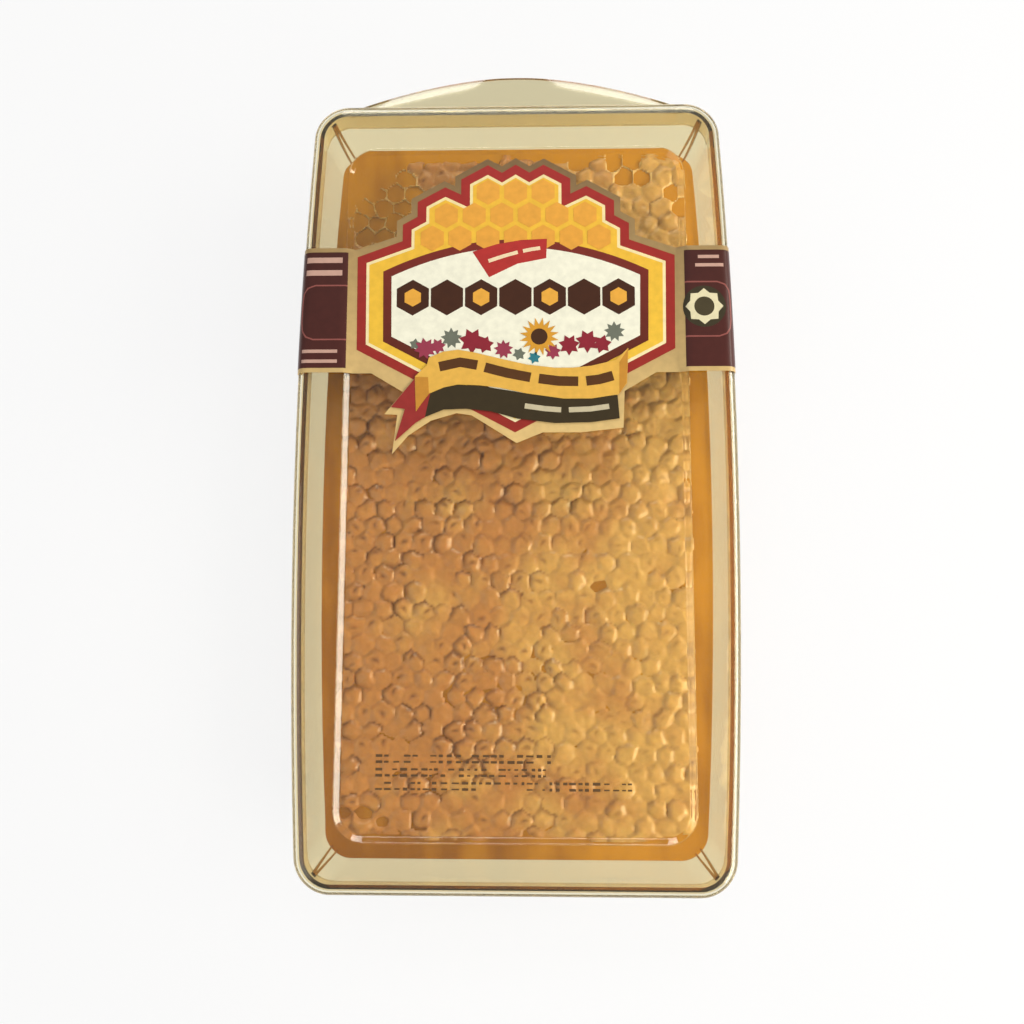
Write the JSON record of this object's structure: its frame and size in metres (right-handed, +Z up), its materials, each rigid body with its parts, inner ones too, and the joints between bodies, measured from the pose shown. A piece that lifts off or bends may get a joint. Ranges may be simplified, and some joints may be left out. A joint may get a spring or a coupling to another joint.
{
  "type": "honeycomb piece in a clear box",
  "caption": "Cut piece of capped honeycomb in liquid honey, shut in a shallow clear plastic box with a plain printed band label over its lid.",
  "frame": {"origin": "centre of the tray's flat base, on the surface that the box lies on", "axes": "+Y along the box towards its lift tab, +X to the right when seen from above with the tab at the far end, +Z up through the lid"},
  "size_m": [0.117, 0.2165, 0.0391],
  "materials": {
    "clear_plastic": "clear polished moulded plastic with a faint straw tint",
    "beeswax": "satin wax caps over honey",
    "honey": "clear amber liquid",
    "printed_paper": "coated paper with printed fields of colour"
  },
  "bodies": {
    "root": {"tray": "clear_plastic", "lid": "clear_plastic", "honeycomb": "beeswax", "honey": "honey", "label": "printed_paper"}
  },
  "joints": []
}
